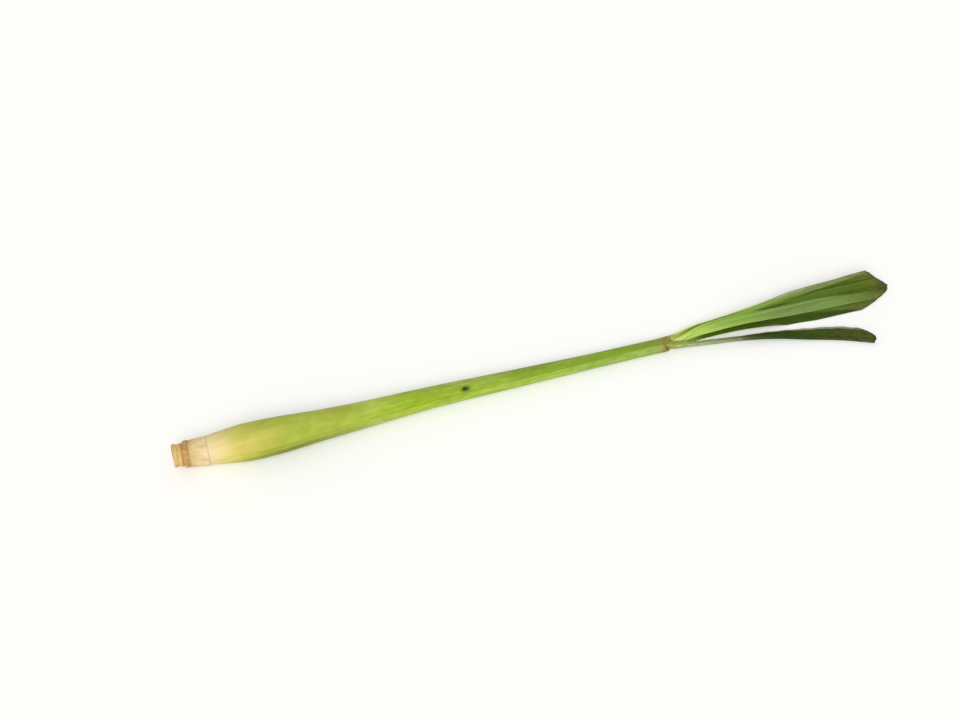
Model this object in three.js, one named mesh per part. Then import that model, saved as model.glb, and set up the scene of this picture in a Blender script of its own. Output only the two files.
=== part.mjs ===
// A lemongrass stalk, trimmed at both ends and lying on a table, in millimetres.
//
// The stalk is a short woody culm with leaves wrapped round it. Each leaf is one piece: its lower part is
// a sheath, rolled into a tube round everything younger than itself, and above its collar it opens into a
// blade. The leaves sit on two opposite sides by turns. The stubs of two older leaves are left at the root.
//
// Modelling frame: X runs along the stalk from the root cut, Y across it, and Z up from the table top.
// At the end the finished stalk is moved so that the origin is the centre of its footprint.

import * as THREE from "three";
import { LoftGeometry } from "three/addons/geometries/LoftGeometry.js";

const { PI, abs, cos, max, sin } = Math;
const { clamp, degToRad, lerp, smoothstep } = THREE.MathUtils;

// ---- driving dimensions ----

const COLLAR = 248; // root cut to the collar, where the leaves leave the stalk
const OUTER_TIP = 369.5; // root cut to the cut end of each blade, along its midrib
const OPPOSITE_TIP = 350;
const INNER_TIP = 368;
const BULB_AT = 38; // root cut to the fattest place
const BULB_RADIUS = 9.4;
const COLLAR_RADIUS = 3.6;
const PRESSED = 0.25; // how far the belly of the bulb is flattened where it bears on the table
const BLADE_HALF_WIDTH = 12; // of the outer leaf, midrib to the edge that lies down

const MARGIN_THICKNESS = 0.35; // of a leaf at its two edges
const LAYER_GAP = 0.35; // between one layer and the next
const FOLD_WIDTH = 1.2; // how wide the bend at a blade's midrib is, on each side
const TUCK_FROM = 0.45; // where the covered half of a roll starts to tuck in, as a share of its width
const TUCK_TO = 0.7;

// ---- curves along the stalk ----

// A curve through [x, value] points that never overshoots them: cubic spans whose slope at a point is the
// harmonic mean of the slopes on its two sides, and zero at a peak or a hollow.
function through(...points) {
  const last = points.length - 1;
  const rise = (i) => (points[i + 1][1] - points[i][1]) / (points[i + 1][0] - points[i][0]);
  const slopes = points.map((point, i) => {
    if (i === 0) return rise(0);
    if (i === last) return rise(last - 1);
    const before = rise(i - 1);
    const after = rise(i);
    return before * after > 0 ? (2 * before * after) / (before + after) : 0;
  });
  return (x) => {
    const here = clamp(x, points[0][0], points[last][0]);
    const i = max(0, points.findIndex((point) => point[0] >= here) - 1);
    const span = points[i + 1][0] - points[i][0];
    const t = (here - points[i][0]) / span;
    const start = points[i][1] * (1 + 2 * t) * (1 - t) ** 2 + slopes[i] * span * t * (1 - t) ** 2;
    const end = points[i + 1][1] * t * t * (3 - 2 * t) + slopes[i + 1] * span * t * t * (t - 1);
    return start + end;
  };
}

const always = (value) => () => value;

// The outside radius of the stalk, from the foot of the outer leaf to its collar.
const stalkRadius = through(
  [17, 7.2],
  [22, 7.9],
  [BULB_AT, BULB_RADIUS],
  [50, 9.1],
  [72, 7.6],
  [100, 6.3],
  [135, 5.2],
  [180, 4.3],
  [216, 3.7],
  [COLLAR, COLLAR_RADIUS],
);

// The stalk's centre line: a slight bow to one side at the bulb, and a slope down to the thin end.
const stalkY = through(
  [0, -1.2],
  [20, -2.9],
  [44, -3.6],
  [80, -2.9],
  [135, -0.8],
  [180, -0.6],
  [COLLAR, 0],
);
const stalkZ = through(
  [0, 8.7],
  [20, 9.0],
  [BULB_AT, BULB_RADIUS - PRESSED],
  [72, 8.4],
  [100, 7.5],
  [135, 6.5],
  [180, 5.4],
  [COLLAR, 3.9],
);

// The centre line and the two directions across it, "side" level and "up" square to it, at x.
function frameAt(centreY, centreZ, x) {
  const step = 0.5;
  const along = new THREE.Vector3(
    2 * step,
    centreY(x + step) - centreY(x - step),
    centreZ(x + step) - centreZ(x - step),
  ).normalize();
  const side = new THREE.Vector3(0, 0, 1).cross(along).normalize();
  const up = new THREE.Vector3().crossVectors(along, side);
  return { centre: new THREE.Vector3(x, centreY(x), centreZ(x)), side, up };
}

// ---- leaves ----

// The middle layer of a half leaf's section, followed from the midrib for the distance `out`. It sets off
// square to the midrib, then turns inward: evenly over its whole width (a roll), sharply beside the midrib
// (a fold), over a stretch further out (a tuck), or back outward towards the edge (a lip). Returns how far
// across and how far inward the point is, and its heading.
function sectionPoint(half, rollRadius, opening, x, out) {
  const steps = 24;
  const width = half.width(x);
  const fold = degToRad(half.fold(x));
  const lip = degToRad(half.lip(x));
  const tuck = (half.tuck(x) * (1 - opening)) / (width * (1 - TUCK_TO) + 0.1);
  let across = 0;
  let inward = 0;
  let heading = 0;
  for (let i = 0; i < steps; i++) {
    const at = (out * (i + 0.5)) / steps;
    const rolled = (at * (1 - opening)) / rollRadius;
    const tucked = tuck * smoothstep(at / width, TUCK_FROM, TUCK_TO);
    heading = rolled + tucked + fold * smoothstep(at, 0, FOLD_WIDTH) - lip * (at / width) ** 4;
    across += (cos(heading) * out) / steps;
    inward += (sin(heading) * out) / steps;
  }
  return { across, inward, heading };
}

// One point of a leaf's skin. `share` runs across the leaf from -1 to 1 with the midrib at 0, and `face` is
// 1 on the outer skin and -1 on the inner one. A leaf never passes through the table.
function leafPoint(leaf, x, share, face) {
  const { centre, side, up } = frameAt(leaf.centreY, leaf.centreZ, x);
  const half = share < 0 ? leaf.covering : leaf.covered;
  const hand = share < 0 ? -1 : 1;
  const thickness = lerp(leaf.thickness(x), MARGIN_THICKNESS, abs(share) ** 3);
  const rollRadius = leaf.radius(x) - leaf.thickness(x) / 2;
  const point = sectionPoint(half, rollRadius, leaf.opening(x), x, half.width(x) * abs(share));
  const across = hand * (point.across + (face * thickness * sin(point.heading)) / 2);
  const inward = point.inward - (face * thickness * cos(point.heading)) / 2;
  const turn = degToRad(leaf.midribAngle(x));
  const midrib = new THREE.Vector3().addScaledVector(side, cos(turn)).addScaledVector(up, sin(turn));
  const tangent = new THREE.Vector3().addScaledVector(side, -sin(turn)).addScaledVector(up, cos(turn));
  const skin = centre.addScaledVector(midrib, rollRadius - inward).addScaledVector(tangent, across);
  skin.z = max(skin.z, face > 0 ? 0 : thickness);
  return skin;
}

// A whole leaf: one closed ring of points per row, out along its outer skin and back along its inner one.
// Towards the tip the rows lean back at the edges, because the blade is cut off to a blunt point.
function leafGeometry(leaf) {
  const outward = Array.from({ length: leaf.columns + 1 }, (_, i) => (2 * i) / leaf.columns - 1);
  const ring = [
    ...outward.map((share) => [share, 1]),
    ...outward.map((share) => [-share, -1]),
  ];
  const sections = leaf.rows.map((x) =>
    ring.map(([share, face]) => {
      const { tipCut, tipPower } = share < 0 ? leaf.covering : leaf.covered;
      const nearTip = smoothstep(x, leaf.tip - 2 * tipCut, leaf.tip);
      return leafPoint(leaf, x - nearTip * tipCut * abs(share) ** tipPower, share, face);
    }),
  );
  return new LoftGeometry(sections, { capStart: true, capEnd: true });
}

// Places between the given ones, each stretch evenly divided: rows(0, 3, 30, 2, 50) is 0, 10, 20, 30, 40, 50.
function rows(from, ...stretches) {
  const list = [from];
  for (let i = 0; i < stretches.length; i += 2) {
    const start = list.at(-1);
    for (let j = 1; j <= stretches[i]; j++) list.push(lerp(start, stretches[i + 1], j / stretches[i]));
  }
  return list;
}

// The width of half a leaf: an arc of so many degrees as a sheath, then the blade's own half width.
function halfWidth(degrees, radius, ...blade) {
  const sheath = (x) => degToRad(degrees(x)) * radius(x);
  const opened = through([COLLAR - 3, sheath(COLLAR - 3)], ...blade);
  return (x) => (x < COLLAR - 3 ? sheath(x) : opened(x));
}

// Above the collar a leaf leaves the stalk's centre line for a path of its own.
function leaving(stalk, ...path) {
  const own = through([COLLAR - 12, stalk(COLLAR - 12)], [COLLAR - 1, stalk(COLLAR)], ...path);
  return (x) => (x < COLLAR - 12 ? stalk(x) : own(x));
}

// The outer leaf. Its blade is an open gutter: one half stands up, the other lies down on the table with
// its edge curled under.
const outerWall = through(
  [17, 1.2],
  [BULB_AT, 1.6],
  [100, 1.0],
  [180, 0.6],
  [COLLAR, 0.5],
);
const collarRidge = through([COLLAR - 5, 0], [COLLAR, 0.4], [COLLAR + 7, 0]);
const outerRadius = (x) => stalkRadius(x) + collarRidge(x);
const gutterFold = {
  lying: through([COLLAR, 0], [COLLAR + 45, 52], [OUTER_TIP, 48]),
  standing: through([COLLAR, 0], [COLLAR + 45, 42], [OUTER_TIP, 34]),
};
const lyingBlade = [
  [COLLAR + 1.5, 4.6],
  [COLLAR + 19, 6.2],
  [COLLAR + 45, 9.6],
  [COLLAR + 80, BLADE_HALF_WIDTH],
  [OUTER_TIP, BLADE_HALF_WIDTH],
];
const standingBlade = [
  [COLLAR + 3, 5.4],
  [COLLAR + 19, 6.1],
  [COLLAR + 45, 9.1],
  [COLLAR + 60, 9.8],
  [COLLAR + 80, 10.5],
  [COLLAR + 100, 11.1],
  [OUTER_TIP, 11.4],
];
const outerLeaf = {
  columns: 20,
  rows: rows(17, 3, 27, 5, 72, 8, COLLAR - 6, 6, COLLAR + 6, 12, OUTER_TIP),
  tip: OUTER_TIP,
  radius: outerRadius,
  thickness: (x) => outerWall(x) + collarRidge(x),
  centreY: leaving(stalkY, [COLLAR + 19, 3.4], [COLLAR + 45, 5], [COLLAR + 80, 5.2], [OUTER_TIP, 4.2]),
  centreZ: leaving(stalkZ, [COLLAR + 19, 3.5], [COLLAR + 45, 3.3], [OUTER_TIP, 3.3]),
  midribAngle: through([17, 25], [135, 0], [COLLAR, -30], [COLLAR + 45, -45], [OUTER_TIP, -45]),
  opening: through([COLLAR - 1, 0], [COLLAR + 15, 0.5], [COLLAR + 66, 1]),
  covering: {
    width: halfWidth(through([17, 186], [32, 198]), stalkRadius, ...lyingBlade),
    fold: gutterFold.lying,
    lip: through([COLLAR + 20, 0], [COLLAR + 50, 30], [COLLAR + 75, 50], [OUTER_TIP, 42]),
    tuck: always(0),
    tipCut: 17,
    tipPower: 1.6,
  },
  covered: {
    width: halfWidth(always(170), stalkRadius, ...standingBlade),
    fold: gutterFold.standing,
    lip: through([COLLAR + 20, 0], [COLLAR + 50, 14], [COLLAR + 80, 26], [OUTER_TIP, 22]),
    tuck: (x) => (0.35 * outerWall(x) + 0.55) * smoothstep(x, 17, 32),
    tipCut: 13,
    tipPower: 1.15,
  },
};

// The next leaf in, rolled inside the outer one with its midrib on the other side. Its blade is folded shut
// along the midrib, and bends away from the stalk until it lies on the table.
const oppositeRadius = (x) => stalkRadius(x) - outerWall(x) - MARGIN_THICKNESS - 2 * LAYER_GAP;
const oppositeWall = through([19, 1.1], [BULB_AT, 1.5], [100, 0.8], [180, 0.5], [COLLAR, 0.45]);
const foldedShut = through([COLLAR + 2, 0], [COLLAR + 18, 80], [COLLAR + 30, 86]);
const oppositeHalf = {
  width: halfWidth(
    always(173),
    oppositeRadius,
    [COLLAR + 2, 2],
    [COLLAR + 22, 2.7],
    [COLLAR + 45, 4.6],
    [COLLAR + 80, 7],
    [OPPOSITE_TIP, 7.4],
  ),
  fold: foldedShut,
  lip: always(0),
  tuck: always(0),
  tipCut: 9,
  tipPower: 2.6,
};
const oppositeLeaf = {
  columns: 16,
  rows: rows(19.4, 2, BULB_AT, 3, 72, 5, COLLAR - 6, 7, COLLAR + 8, 12, OPPOSITE_TIP),
  tip: OPPOSITE_TIP,
  radius: oppositeRadius,
  thickness: oppositeWall,
  centreY: leaving(
    stalkY,
    [COLLAR + 2, -0.1],
    [COLLAR + 10, -1.4],
    [COLLAR + 22, -3.9],
    [COLLAR + 45, -7.2],
    [COLLAR + 68, -12.6],
    [COLLAR + 84, -16.6],
    [OPPOSITE_TIP, -23.6],
  ),
  centreZ: leaving(stalkZ, [COLLAR + 22, 2.9], [COLLAR + 45, 2.6], [COLLAR + 84, 1.3], [OPPOSITE_TIP, 1.3]),
  midribAngle: through(
    [17, 205],
    [135, 180],
    [COLLAR, 150],
    [COLLAR + 18, 126],
    [COLLAR + 45, 144],
    [COLLAR + 68, 165],
    [COLLAR + 84, 178],
  ),
  opening: through([COLLAR - 3, 0], [COLLAR + 20, 1]),
  covering: oppositeHalf,
  covered: oppositeHalf,
};

// The youngest leaf, rolled tight inside the other two. Its blade lies in the gutter of the outer blade.
const rolledRadius = (x) => oppositeRadius(x) - oppositeWall(x) - LAYER_GAP;
const nestedRadius = (x) => COLLAR_RADIUS - outerWall(x) - 2.5 * LAYER_GAP;
const innerRadius = (x) => lerp(rolledRadius(x), nestedRadius(x), smoothstep(x, COLLAR, COLLAR + 24));
const innerHalfWidth = (...blade) => halfWidth(always(172), (x) => 0.7 * innerRadius(x), ...blade);
const innerLeaf = {
  columns: 14,
  rows: rows(22.4, 2, BULB_AT, 4, 100, 4, COLLAR - 6, 5, COLLAR + 10, 9, INNER_TIP),
  tip: INNER_TIP,
  radius: innerRadius,
  thickness: (x) => lerp(0.6 * rolledRadius(x), 0.45, smoothstep(x, COLLAR - 10, COLLAR + 20)),
  centreY: outerLeaf.centreY,
  centreZ: outerLeaf.centreZ,
  midribAngle: outerLeaf.midribAngle,
  opening: through([COLLAR + 2, 0], [COLLAR + 20, 0.55], [COLLAR + 66, 1]),
  covering: {
    width: innerHalfWidth([COLLAR + 10, 2.8], [COLLAR + 45, 5], [COLLAR + 80, 6.5]),
    fold: gutterFold.lying,
    lip: always(0),
    tuck: always(0),
    tipCut: 7,
    tipPower: 1.6,
  },
  covered: {
    width: innerHalfWidth(
      [COLLAR + 8, 3],
      [COLLAR + 25, 4.4],
      [COLLAR + 45, 4.4],
      [COLLAR + 63, 4.1],
      [COLLAR + 85, 5.6],
      [INNER_TIP, 6.3],
    ),
    fold: gutterFold.standing,
    lip: always(0),
    tuck: always(0),
    tipCut: 6,
    tipPower: 1.15,
  },
};

// ---- the root end ----

// The stub of an older leaf: a short length of sheath, cut off close to where it grew.
function sheathStub(from, to, radius, midribAngle) {
  const half = {
    width: (x) => degToRad(175) * radius(x),
    fold: always(0),
    lip: always(0),
    tuck: always(0),
    tipCut: 0.3,
    tipPower: 1,
  };
  return {
    columns: 18,
    rows: rows(from, 4, to),
    tip: to,
    radius,
    thickness: always(0.7),
    centreY: stalkY,
    centreZ: stalkZ,
    midribAngle: always(midribAngle),
    opening: always(0),
    covering: half,
    covered: half,
  };
}

const CULM_COLUMNS = 24;

// [x, radius] along the culm: the cut face, two joints, one seat for each leaf, and the growing point.
const CULM = [
  [0, 5.2],
  [0.9, 5.6],
  [2.5, 5.2],
  [4, 5.6],
  [5.2, 5.3],
  [9.4, 5.4],
  [16.6, 5.8],
  [18.8, 5.6],
  [18.8, 3.8],
  [21.8, 3.8],
  [21.8, 1.2],
  [30, 0.9],
  [33, 0.4],
];

function culmGeometry() {
  const sections = CULM.map(([x, radius]) => {
    const { centre, side, up } = frameAt(stalkY, stalkZ, x);
    return Array.from({ length: CULM_COLUMNS }, (_, i) => {
      const angle = (2 * PI * i) / CULM_COLUMNS;
      return centre
        .clone()
        .addScaledVector(side, radius * cos(angle))
        .addScaledVector(up, radius * sin(angle));
    });
  });
  return new LoftGeometry(sections, { capStart: true, capEnd: true });
}

// ---- assembly ----

function piece(name, geometry, color, roughness) {
  const mesh = new THREE.Mesh(geometry, new THREE.MeshStandardMaterial({ color, roughness, metalness: 0 }));
  mesh.name = name;
  return mesh;
}

const lowerStub = sheathStub(5.4, 7.7, through([5.4, 6.3], [6.6, 6.6], [7.7, 6.4]), 60);
const upperStub = sheathStub(8.2, 16.5, through([8.2, 6.5], [14.5, 7.1], [16.5, 7.0]), 240);

const stalk = new THREE.Group();
stalk.add(
  piece("root_culm", culmGeometry(), 0xdcb27a, 0.8),
  piece("lower_sheath_stub", leafGeometry(lowerStub), 0xc08a50, 0.85),
  piece("upper_sheath_stub", leafGeometry(upperStub), 0xe6cf9f, 0.7),
  piece("outer_leaf", leafGeometry(outerLeaf), 0xb4cf55, 0.5),
  piece("opposite_leaf", leafGeometry(oppositeLeaf), 0x4e7a33, 0.55),
  piece("inner_leaf", leafGeometry(innerLeaf), 0x86b052, 0.5),
);

const box = new THREE.Box3().setFromObject(stalk);
stalk.position.set(-(box.min.x + box.max.x) / 2, -(box.min.y + box.max.y) / 2, -box.min.z);

const lemongrass = new THREE.Group();
lemongrass.add(stalk);

export default lemongrass;
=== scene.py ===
"""A lemongrass stalk, trimmed at both ends and lying on a table.

A short woody culm carries the stubs of two older sheaths and three living leaves. Each leaf is one
surface: its lower part is rolled into a tube round everything younger than itself, and above the collar
it opens into a blade. Lengths along the stalk are in millimetres from the root cut, until a piece goes
into its mesh."""

from types import SimpleNamespace

import bpy
import numpy as np
from bpy.props import FloatProperty, FloatVectorProperty, PointerProperty
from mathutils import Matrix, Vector


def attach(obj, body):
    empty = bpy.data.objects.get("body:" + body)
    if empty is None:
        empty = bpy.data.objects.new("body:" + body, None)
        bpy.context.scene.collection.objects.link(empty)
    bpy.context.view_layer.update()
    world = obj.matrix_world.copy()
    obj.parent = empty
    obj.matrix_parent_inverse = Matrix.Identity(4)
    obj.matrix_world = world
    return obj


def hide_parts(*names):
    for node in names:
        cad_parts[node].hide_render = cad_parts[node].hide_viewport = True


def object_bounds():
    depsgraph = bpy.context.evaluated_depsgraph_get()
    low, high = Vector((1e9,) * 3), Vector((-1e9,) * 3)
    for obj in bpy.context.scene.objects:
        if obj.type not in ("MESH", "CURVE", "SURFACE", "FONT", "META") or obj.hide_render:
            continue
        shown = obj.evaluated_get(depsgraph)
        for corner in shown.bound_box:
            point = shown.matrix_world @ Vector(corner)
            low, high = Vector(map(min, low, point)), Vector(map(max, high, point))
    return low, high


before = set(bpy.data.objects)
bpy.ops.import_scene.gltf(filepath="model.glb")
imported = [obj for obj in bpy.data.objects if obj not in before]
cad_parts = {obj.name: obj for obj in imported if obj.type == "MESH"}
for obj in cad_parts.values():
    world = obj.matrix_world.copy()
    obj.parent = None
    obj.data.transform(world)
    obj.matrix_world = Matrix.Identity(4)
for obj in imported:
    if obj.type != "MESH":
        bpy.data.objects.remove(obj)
CAD_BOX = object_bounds()

bl_info = {
    "name": "Lemongrass Stalk",
    "version": (1, 0, 0),
    "blender": (4, 5, 0),
    "location": "3D View > Sidebar > Lemongrass",
    "description": "Builds a trimmed lemongrass stalk with two cut blades, and a pale studio floor",
    "category": "Add Mesh",
}

MM = 0.001

# The culm's cut face leans a little, so its lower rim stands out past the root cut itself. The far edge
# of the broad blade gives the width of the box.
RIM_OUT = 0.226
BLADE_EDGE_OUT = 10.234
ROOT_CUT = Vector((CAD_BOX[0].x + RIM_OUT * MM, CAD_BOX[1].y - BLADE_EDGE_OUT * MM, CAD_BOX[0].z))

COLLAR = 248.0  # where the leaves leave the stalk
SHEATH_TOP = COLLAR - 3  # above it a leaf's width is its blade's
BENDING = COLLAR - 12  # above it a leaf's centre line may leave the stalk's
OUTER_TIP = 369.5  # the cut end of each blade, along its midrib
OPPOSITE_TIP = 350.0
INNER_TIP = 368.0
BULB_AT = 38.0
BULB_RADIUS = 9.4
COLLAR_RADIUS = 3.6
PRESSED = 0.25  # how far the belly of the bulb is flattened on the table
BLADE_HALF_WIDTH = 12.0  # of the broad blade, midrib to the edge that lies down

MARGIN_THICKNESS = 0.35  # of a blade's edge
SHEATH_MARGIN = 0.18  # of a sheath's edge
LAYER_GAP = 0.35
FOLD_WIDTH = 1.2  # of the bend at a blade's midrib, on each side
BRUISE_AT, BRUISE_SHARE = 143, 0.65  # along the outer sheath, and across its half width
LIGULE_MIDDLE = -30  # degrees round the stalk: where the midrib of the outer leaf is
TUCK_FROM, TUCK_TO = 0.45, 0.7  # where the covered half of a roll tucks in, as shares of its width
KEEL_HALF_WIDTH = 0.8
SHEATH_VEINS = 0.3  # how far the veins stand out on a sheath, as a share of their height on a blade
BLUNT_SHARE = 0.18  # how much of a blade's half width is rounded off at the midrib's end
RAGGED_LENGTH = 6  # how far back from the cut a blade's end is uneven


# ---- numbers ----


def linear(code):
    """An sRGB hex colour as linear red, green and blue."""
    value = np.array([int(code[i : i + 2], 16) for i in (1, 3, 5)]) / 255
    return tuple(np.where(value <= 0.04045, value / 12.92, ((value + 0.055) / 1.055) ** 2.4))


def rgba(colour):
    """A colour as a shader takes it, from a hex code or from linear red, green and blue."""
    return (*(linear(colour) if isinstance(colour, str) else colour), 1)


def lerp(a, b, t):
    return a + (b - a) * t


def smoothstep(x, low, high):
    """0 below low, 1 above high, and between them 3t^2 - 2t^3 of the way t."""
    t = np.clip((x - low) / (high - low), 0, 1)
    return t * t * (3 - 2 * t)


def through(*points):
    """A curve through (place, value) points that never overshoots them: cubic spans, whose slope at a point
    is the harmonic mean of the slopes on its two sides, and zero at a peak or a hollow."""
    place, value = np.array(points, float).T
    rise = np.diff(value) / np.diff(place)
    before, after = rise[:-1], rise[1:]
    same_way = before * after > 0
    mean = 2 * before * after / np.where(same_way, before + after, 1)
    slope = np.concatenate([rise[:1], np.where(same_way, mean, 0), rise[-1:]])

    def curve(x):
        here = np.clip(x, place[0], place[-1])
        i = np.clip(np.searchsorted(place, here) - 1, 0, len(rise) - 1)
        span = place[i + 1] - place[i]
        t = (here - place[i]) / span
        start = value[i] * (1 + 2 * t) * (1 - t) ** 2 + slope[i] * span * t * (1 - t) ** 2
        end = value[i + 1] * t * t * (3 - 2 * t) + slope[i + 1] * span * t * t * (t - 1)
        return start + end

    return curve


def above(*points):
    """Points along the stalk whose places are given from the collar upwards."""
    return [(COLLAR + up, value) for up, value in points]


def always(value):
    return lambda x: np.full(np.shape(x), float(value))


def ripples(seed, *places):
    """Soft irregular waves between -1 and 1: the mean of five sines, each along a seeded direction through
    the given places, with a seeded phase."""
    draw = np.random.default_rng(seed)
    total = 0
    for _ in range(5):
        ways = draw.uniform(-1.6, 1.6, len(places))
        total = total + np.sin(sum(w * p for w, p in zip(ways, places)) + draw.uniform(0, 2 * np.pi))
    return total / 5


def stretches(from_, *steps):
    """Places along a piece, each stretch evenly divided: stretches(0, 3, 30) is 0, 10, 20, 30."""
    places = [np.array([from_], float)]
    for count, to in zip(steps[::2], steps[1::2]):
        places.append(np.linspace(places[-1][-1], to, count + 1)[1:])
    return np.concatenate(places)


# ---- the line of the stalk ----

stalk_radius = through(
    (17, 7.2), (22, 7.9), (BULB_AT, BULB_RADIUS), (50, 9.1), (72, 7.6), (100, 6.3), (135, 5.2),
    (180, 4.3), (216, 3.7), (COLLAR, COLLAR_RADIUS),
)
stalk_y = through((0, -1.2), (20, -2.9), (44, -3.6), (80, -2.9), (135, -0.8), (180, -0.6), (COLLAR, 0))
stalk_z = through(
    (0, 8.7), (20, 9.0), (BULB_AT, BULB_RADIUS - PRESSED), (72, 8.4), (100, 7.5), (135, 6.5), (180, 5.4),
    (COLLAR, 3.9),
)


def path_frame(path_y, path_z, x):
    """A centre line at x, and the two directions across it: side is level, and up is square to side and to
    the line, whose own direction is the difference of two places 1 mm apart."""
    ones = np.ones_like(x)
    ahead = np.stack([ones, path_y(x + 0.5) - path_y(x - 0.5), path_z(x + 0.5) - path_z(x - 0.5)], -1)
    ahead /= np.linalg.norm(ahead, axis=-1, keepdims=True)
    side = np.cross((0, 0, 1), ahead)
    side /= np.linalg.norm(side, axis=-1, keepdims=True)
    return np.stack([x, path_y(x), path_z(x)], -1), side, np.cross(ahead, side)


def round_stalk(x, radius, angle):
    """Points at x along the stalk, at a radius and an angle about its centre line."""
    centre, side, up = path_frame(stalk_y, stalk_z, x)
    return centre + side * (radius * np.cos(angle))[..., None] + up * (radius * np.sin(angle))[..., None]


def joined(*values):
    """Values spread over each other's shapes and put together as the last axis of one array."""
    return np.stack(np.broadcast_arrays(*values), -1)


# ---- leaf surfaces ----


def leaf_skin(leaf, x, share, face, beyond):
    """A leaf's skin. x runs along it, and share across it from -1 to 1 with the midrib at 0; face is 1
    on the outer skin and -1 on the inner one, and beyond rounds off the two edges. The middle layer is
    followed from the midrib outwards in equal short steps. Its heading is the sum of a roll (distance
    over radius), a fold beside the midrib, a tuck further out, a lip that turns the edge back and a
    small wave along it. The skin lies half a thickness from that layer, plus the veins and, outside,
    the keel."""
    steps = 24
    centre, side, up = path_frame(leaf.centre_y, leaf.centre_z, x)
    near = share < 0
    hand = np.where(near, -1.0, 1.0)

    def of_half(name):
        return np.where(near, leaf.covering[name](x), leaf.covered[name](x))

    width = of_half("width")
    fold, lip, wave = np.radians(of_half("fold")), np.radians(of_half("lip")), np.radians(of_half("wave"))
    rolled = 1 - leaf.opening(x)
    roll_radius = leaf.radius(x) - leaf.thickness(x) / 2
    tuck = of_half("tuck") * rolled / (width * (1 - TUCK_TO) + 0.1)
    out = width * np.abs(share)
    across = inward = 0
    for step in range(steps):
        at = out * (step + 0.5) / steps
        heading = (
            at * rolled / roll_radius
            + tuck * smoothstep(at / width, TUCK_FROM, TUCK_TO)
            + fold * smoothstep(at, 0, FOLD_WIDTH)
            - lip * (at / width) ** 4
            + hand * wave * (at / width) ** 2
        )
        across = across + np.cos(heading) * out / steps
        inward = inward + np.sin(heading) * out / steps

    margin = lerp(SHEATH_MARGIN, MARGIN_THICKNESS, smoothstep(x, COLLAR - 6, COLLAR + 10))
    thickness = lerp(leaf.thickness(x), margin, np.abs(share) ** 3)
    opened = smoothstep(x, COLLAR, COLLAR + 20)
    showing = np.maximum(opened, SHEATH_VEINS * (face > 0))
    veins = leaf.vein_height * vein_profile(share, leaf.veins) * showing
    keel = leaf.keel(x) * np.exp(-((out / KEEL_HALF_WIDTH) ** 2)) * np.maximum(face, 0)
    off = face * (thickness / 2 + veins) + keel
    past = beyond * thickness / 2
    across = hand * (across + off * np.sin(heading) + past * np.cos(heading))
    inward = inward - off * np.cos(heading) + past * np.sin(heading)
    turn = np.radians(leaf.midrib_angle(x))[..., None]
    midrib = side * np.cos(turn) + up * np.sin(turn)
    tangent = up * np.cos(turn) - side * np.sin(turn)
    skin = centre + midrib * (roll_radius - inward)[..., None] + tangent * across[..., None]
    skin[..., 2] = np.maximum(skin[..., 2], thickness * (1 - face) / 2)
    return skin


def vein_profile(share, count):
    """Ridges that run the whole length of a leaf, count to each half: a cosine ridge for each vein with
    every third one higher, dying out before the edges."""
    ridges = np.cos(2 * np.pi * count * share) + 0.6 * np.cos(2 * np.pi * count * share / 3)
    return (0.35 + ridges / 2.5) * (1 - np.abs(share) ** 6)


def leaf_rings(leaf):
    """A whole leaf as closed rings: out along the outer skin, round the edge, and back along the inner
    one. Towards the tip the rows lean back at the edges, because the blade is cut off to a blunt,
    uneven point. Returns the points and, for each, its place along and across the leaf, its skin and
    its distance from the cut end."""
    half_round = np.sqrt(0.5)
    row = np.linspace(-1, 1, leaf.columns + 1)
    share = np.concatenate([[-1, -1], row, [1, 1, 1], -row, [-1]])
    face = np.concatenate([[0, half_round], np.ones_like(row), [half_round, 0, -half_round]])
    face = np.concatenate([face, -np.ones_like(row), [-half_round]])
    beyond = np.sqrt(1 - face**2)
    rows = leaf.rows[:, None]
    cut = np.where(share < 0, leaf.covering["tip_cut"], leaf.covered["tip_cut"])
    power = np.where(share < 0, leaf.covering["tip_power"], leaf.covered["tip_power"])
    near_tip = smoothstep(rows, leaf.tip - 2 * cut, leaf.tip)
    wavy = ripples(leaf.seed, 9 * share, 0 * rows) + 0.6 * ripples(leaf.seed + 40, 34 * share, 0 * rows)
    uneven = leaf.ragged * wavy * smoothstep(rows, leaf.tip - RAGGED_LENGTH, leaf.tip)
    blunt = leaf.blunt * np.exp(-((share / BLUNT_SHARE) ** 2))
    x = rows - near_tip * (cut * np.abs(share) ** power + blunt) + uneven
    points = leaf_skin(leaf, x, share, face, beyond)
    from_cut = np.broadcast_to((leaf.tip - rows) * MM, x.shape)
    return points, {"leaf_place": joined(x * MM, share, face), "from_cut": from_cut}


def half_width(degrees, radius, *blade):
    """Half a leaf's width: an arc of so many degrees as a sheath, then the blade's own half width."""

    def sheath(x):
        return np.radians(degrees(x)) * radius(x)

    opened = through((SHEATH_TOP, sheath(np.array(SHEATH_TOP))), *blade)
    return lambda x: np.where(x < SHEATH_TOP, sheath(x), opened(x))


def leaving(stalk, *path):
    """Above the collar a leaf leaves the stalk's centre line for a path of its own."""
    start = (BENDING, stalk(BENDING)), (COLLAR - 1, stalk(COLLAR))
    own = through(*start, *path)
    return lambda x: np.where(x < BENDING, stalk(x), own(x))


# A half of a leaf that neither folds, turns back at its edge, tucks in nor waves.
PLAIN_HALF = {name: always(0) for name in ("fold", "lip", "tuck", "wave")}


def outer_wall(x):
    return through((17, 1.2), (BULB_AT, 1.6), (100, 1.0), (180, 0.6), (COLLAR, 0.5))(x)


def collar_ridge(x):
    return through(*above((-5, 0), (0, 0.2), (7, 0)))(x)


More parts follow.
